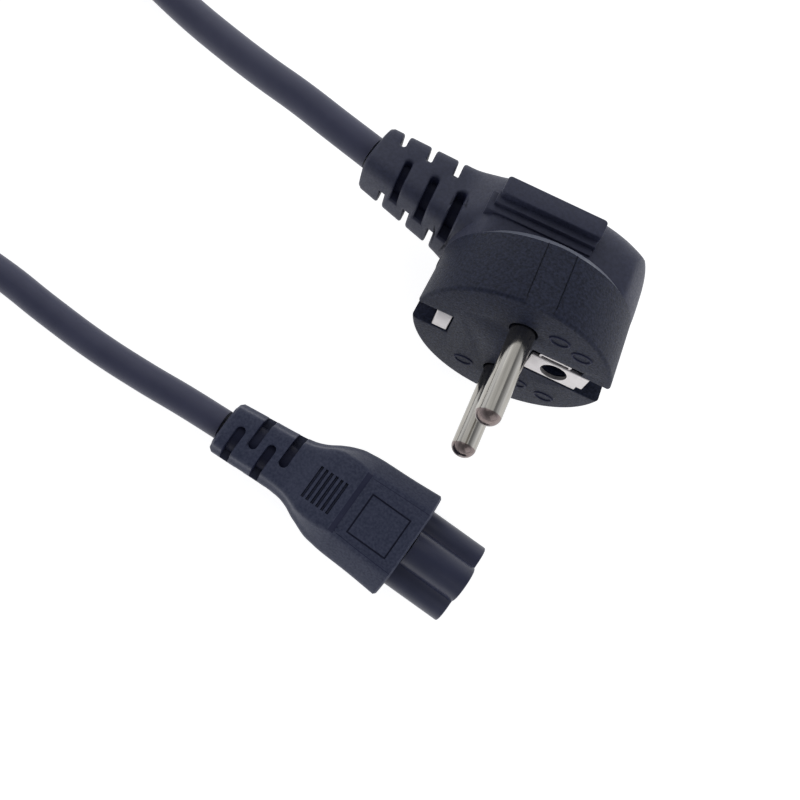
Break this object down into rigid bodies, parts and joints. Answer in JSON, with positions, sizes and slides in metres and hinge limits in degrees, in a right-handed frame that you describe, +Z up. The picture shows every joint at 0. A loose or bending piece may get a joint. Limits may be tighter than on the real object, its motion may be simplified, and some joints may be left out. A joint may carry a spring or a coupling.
{
  "type": "mains cord with angled earthed plug and cloverleaf connector",
  "caption": "Black mains cord with an angled, earthed round-pin plug at one end and a cloverleaf appliance connector at the other, spare length coiled.",
  "frame": {"origin": "on the floor, under the middle of the box round the plug and the connector", "axes": "+X along the connector's nose, away from its cord; +Z up; the plug's pins point towards -Y and a little up"},
  "size_m": [0.235, 0.0876, 0.0401],
  "materials": {
    "moulded_vinyl": "fine spark-eroded texture, bluish black",
    "insert_vinyl": "smooth satin, blue-black",
    "cord_jacket": "smooth satin vinyl, slate black",
    "nickel_pin": "nickel-plated, polished",
    "contact_metal": "satin stamped strip",
    "strap_fabric": "woven hook-and-loop strap"
  },
  "bodies": {
    "root": {"plug_body": "moulded_vinyl", "plug_pin_upper": "nickel_pin", "plug_pin_lower": "nickel_pin", "earth_clip_cable_side": "contact_metal", "earth_clip_far_side": "contact_metal", "connector_body": "moulded_vinyl", "connector_nose": "insert_vinyl", "socket_contact_line": "contact_metal", "socket_contact_neutral": "contact_metal", "socket_contact_earth": "contact_metal", "cord_plug_side": "cord_jacket", "cord_connector_side": "cord_jacket", "cord_coil": "cord_jacket", "cord_tie": "strap_fabric"}
  },
  "joints": []
}
